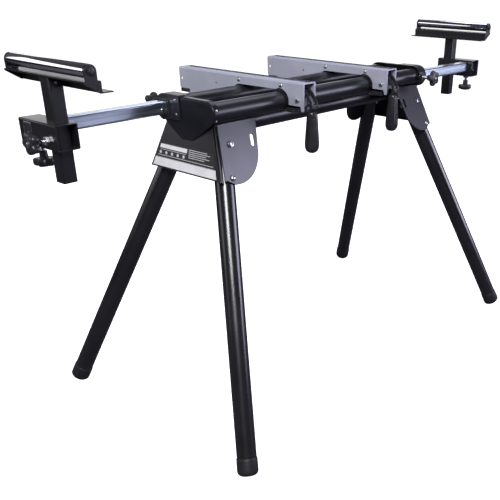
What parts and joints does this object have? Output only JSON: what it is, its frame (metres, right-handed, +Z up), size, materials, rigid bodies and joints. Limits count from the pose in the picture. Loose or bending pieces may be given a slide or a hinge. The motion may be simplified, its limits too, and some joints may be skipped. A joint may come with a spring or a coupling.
{
  "type": "mitre saw stand",
  "caption": "Folding mitre saw stand: tube beam on splayed legs, sliding mount arms with clamp levers, and a height-set roller support on each extension bar.",
  "frame": {"origin": "on the floor, at the centre of the bounding box's bottom face", "axes": "+X along the beam, -Y to the front where the clamp levers are, +Z up"},
  "size_m": [1.5646, 0.6802, 0.8572],
  "materials": {
    "powder_black": "semi-gloss black powder coat",
    "silver_paint": "silver-grey paint",
    "galvanised": "galvanised steel with fine streaks",
    "chrome": "polished chrome",
    "zinc": "bright zinc plating",
    "black_plastic": "fine-grained moulded black",
    "foot_rubber": "matt black rubber",
    "label": "printed film, lettering left out"
  },
  "bodies": {
    "frame": {"front_tube": "powder_black", "rear_tube": "powder_black", "lower_tube": "powder_black", "left_end_cap": "powder_black", "right_end_cap": "powder_black", "left_bar_sleeve": "powder_black", "right_bar_sleeve": "powder_black", "left_leg_panel": "powder_black", "right_leg_panel": "powder_black", "label_plate": "label", "front_left_leg_plate": "powder_black", "front_left_pivot_bolt": "zinc", "front_right_leg_plate": "powder_black", "front_right_pivot_bolt": "zinc", "rear_left_leg_plate": "powder_black", "rear_left_pivot_bolt": "zinc", "rear_right_leg_plate": "powder_black", "rear_right_pivot_bolt": "zinc"},
    "front_left_leg": {"front_left_leg": "powder_black", "front_left_foot": "foot_rubber"},
    "front_left_lock_pin": {"front_left_lock_pin": "zinc"},
    "front_right_leg": {"front_right_leg": "powder_black", "front_right_foot": "foot_rubber"},
    "front_right_lock_pin": {"front_right_lock_pin": "zinc"},
    "rear_left_leg": {"rear_left_leg": "powder_black", "rear_left_foot": "foot_rubber"},
    "rear_left_lock_pin": {"rear_left_lock_pin": "zinc"},
    "rear_right_leg": {"rear_right_leg": "powder_black", "rear_right_foot": "foot_rubber"},
    "rear_right_lock_pin": {"rear_right_lock_pin": "zinc"},
    "left_extension": {"left_bar": "galvanised", "left_bar_plug": "black_plastic"},
    "left_block": {"left_junction_block": "powder_black"},
    "left_head": {"left_post": "powder_black", "left_roller_cradle": "powder_black", "left_roller_axle": "zinc"},
    "left_roller": {"left_roller": "chrome"},
    "left_bar_lock_knob": {"left_bar_lock_knob": "black_plastic"},
    "left_bar_clamp_knob": {"left_bar_clamp_knob": "black_plastic"},
    "left_post_knob": {"left_post_knob": "black_plastic"},
    "left_arm": {"left_mount_arm": "silver_paint", "left_rear_pad": "black_plastic"},
    "left_lever": {"left_clamp_lever": "powder_black", "left_lever_grip": "black_plastic"},
    "left_jaw": {"left_clamp_jaw": "black_plastic"},
    "right_extension": {"right_bar": "galvanised", "right_bar_plug": "black_plastic"},
    "right_block": {"right_junction_block": "powder_black"},
    "right_head": {"right_post": "powder_black", "right_roller_cradle": "powder_black", "right_roller_axle": "zinc"},
    "right_roller": {"right_roller": "chrome"},
    "right_bar_lock_knob": {"right_bar_lock_knob": "black_plastic"},
    "right_bar_clamp_knob": {"right_bar_clamp_knob": "black_plastic"},
    "right_post_knob": {"right_post_knob": "black_plastic"},
    "right_arm": {"right_mount_arm": "silver_paint", "right_rear_pad": "black_plastic"},
    "right_lever": {"right_clamp_lever": "powder_black", "right_lever_grip": "black_plastic"},
    "right_jaw": {"right_clamp_jaw": "black_plastic"}
  },
  "joints": [
    {"name": "front_left_leg_fold", "type": "hinge", "parent": "frame", "child": "front_left_leg", "pos_m": [-0.3766, -0.0683, 0.6527], "axis": [0.0663, -0.9363, 0.345], "range_deg": [0, 106.4]},
    {"name": "front_left_lock_pull", "type": "slide", "parent": "frame", "child": "front_left_lock_pin", "axis": [0.0663, -0.9363, 0.345], "range_m": [0, 0.008], "stiffness_N_per_m": 300, "springref_m": -0.002},
    {"name": "front_right_leg_fold", "type": "hinge", "parent": "frame", "child": "front_right_leg", "pos_m": [0.3766, -0.0683, 0.6527], "axis": [-0.0802, 0.9192, -0.3855], "range_deg": [0, 96.7]},
    {"name": "front_right_lock_pull", "type": "slide", "parent": "frame", "child": "front_right_lock_pin", "axis": [0.0802, -0.9192, 0.3855], "range_m": [0, 0.008], "stiffness_N_per_m": 300, "springref_m": -0.002},
    {"name": "rear_left_leg_fold", "type": "hinge", "parent": "frame", "child": "rear_left_leg", "pos_m": [-0.3766, 0.0683, 0.6527], "axis": [0.0802, -0.9192, -0.3855], "range_deg": [0, 96.7]},
    {"name": "rear_left_lock_pull", "type": "slide", "parent": "frame", "child": "rear_left_lock_pin", "axis": [-0.0802, 0.9192, 0.3855], "range_m": [0, 0.008], "stiffness_N_per_m": 300, "springref_m": -0.002},
    {"name": "rear_right_leg_fold", "type": "hinge", "parent": "frame", "child": "rear_right_leg", "pos_m": [0.3766, 0.0683, 0.6527], "axis": [-0.0663, 0.9363, 0.345], "range_deg": [0, 106.4]},
    {"name": "rear_right_lock_pull", "type": "slide", "parent": "frame", "child": "rear_right_lock_pin", "axis": [-0.0663, 0.9363, 0.345], "range_m": [0, 0.008], "stiffness_N_per_m": 300, "springref_m": -0.002},
    {"name": "left_bar_slide", "type": "slide", "parent": "frame", "child": "left_extension", "axis": [-1, 0, 0], "range_m": [-0.12, 0.25]},
    {"name": "left_block_slide", "type": "slide", "parent": "left_extension", "child": "left_block", "axis": [-1, 0, 0], "range_m": [-0.1, 0]},
    {"name": "left_post_slide", "type": "slide", "parent": "left_block", "child": "left_head", "axis": [0, 0, 1], "range_m": [-0.054, 0.054]},
    {"name": "left_roller_spin", "type": "hinge", "parent": "left_head", "child": "left_roller", "pos_m": [-0.7177, 0, 0.8452], "axis": [0, 1, 0], "continuous": true},
    {"name": "left_bar_lock_turn", "type": "hinge", "parent": "frame", "child": "left_bar_lock_knob", "pos_m": [-0.3935, 0.066, 0.727], "axis": [0, 1, 0], "range_deg": [0, 720]},
    {"name": "left_bar_clamp_turn", "type": "hinge", "parent": "left_block", "child": "left_bar_clamp_knob", "pos_m": [-0.7183, 0.066, 0.7], "axis": [0, 0, -1], "range_deg": [0, 720]},
    {"name": "left_post_clamp_turn", "type": "hinge", "parent": "left_block", "child": "left_post_knob", "pos_m": [-0.75, 0, 0.7155], "axis": [-1, 0, 0], "range_deg": [0, 720]},
    {"name": "left_arm_slide", "type": "slide", "parent": "frame", "child": "left_arm", "axis": [1, 0, 0], "range_m": [-0.06, 0.13]},
    {"name": "left_lever_turn", "type": "hinge", "parent": "left_arm", "child": "left_lever", "pos_m": [-0.1631, -0.1207, 0.7338], "axis": [-1, 0, 0], "range_deg": [0, 85]},
    {"name": "left_jaw_turn", "type": "hinge", "parent": "left_arm", "child": "left_jaw", "pos_m": [-0.1631, -0.1207, 0.7338], "axis": [-1, 0, 0], "range_deg": [0, 15]},
    {"name": "right_bar_slide", "type": "slide", "parent": "frame", "child": "right_extension", "axis": [1, 0, 0], "range_m": [-0.12, 0.25]},
    {"name": "right_block_slide", "type": "slide", "parent": "right_extension", "child": "right_block", "axis": [1, 0, 0], "range_m": [-0.1, 0]},
    {"name": "right_post_slide", "type": "slide", "parent": "right_block", "child": "right_head", "axis": [0, 0, 1], "range_m": [-0.054, 0.054]},
    {"name": "right_roller_spin", "type": "hinge", "parent": "right_head", "child": "right_roller", "pos_m": [0.7177, 0, 0.8452], "axis": [0, 1, 0], "continuous": true},
    {"name": "right_bar_lock_turn", "type": "hinge", "parent": "frame", "child": "right_bar_lock_knob", "pos_m": [0.3935, -0.066, 0.727], "axis": [0, -1, 0], "range_deg": [0, 720]},
    {"name": "right_bar_clamp_turn", "type": "hinge", "parent": "right_block", "child": "right_bar_clamp_knob", "pos_m": [0.7183, -0.066, 0.7], "axis": [0, 0, -1], "range_deg": [0, 720]},
    {"name": "right_post_clamp_turn", "type": "hinge", "parent": "right_block", "child": "right_post_knob", "pos_m": [0.75, 0, 0.7155], "axis": [1, 0, 0], "range_deg": [0, 720]},
    {"name": "right_arm_slide", "type": "slide", "parent": "frame", "child": "right_arm", "axis": [1, 0, 0], "range_m": [-0.13, 0.06]},
    {"name": "right_lever_turn", "type": "hinge", "parent": "right_arm", "child": "right_lever", "pos_m": [0.1708, -0.1207, 0.7338], "axis": [-1, 0, 0], "range_deg": [0, 85]},
    {"name": "right_jaw_turn", "type": "hinge", "parent": "right_arm", "child": "right_jaw", "pos_m": [0.1708, -0.1207, 0.7338], "axis": [-1, 0, 0], "range_deg": [0, 15]}
  ],
  "couplings": [
    {"joint": "left_jaw_turn", "follows": "left_lever_turn", "ratio": 0.17},
    {"joint": "right_jaw_turn", "follows": "right_lever_turn", "ratio": 0.17}
  ]
}
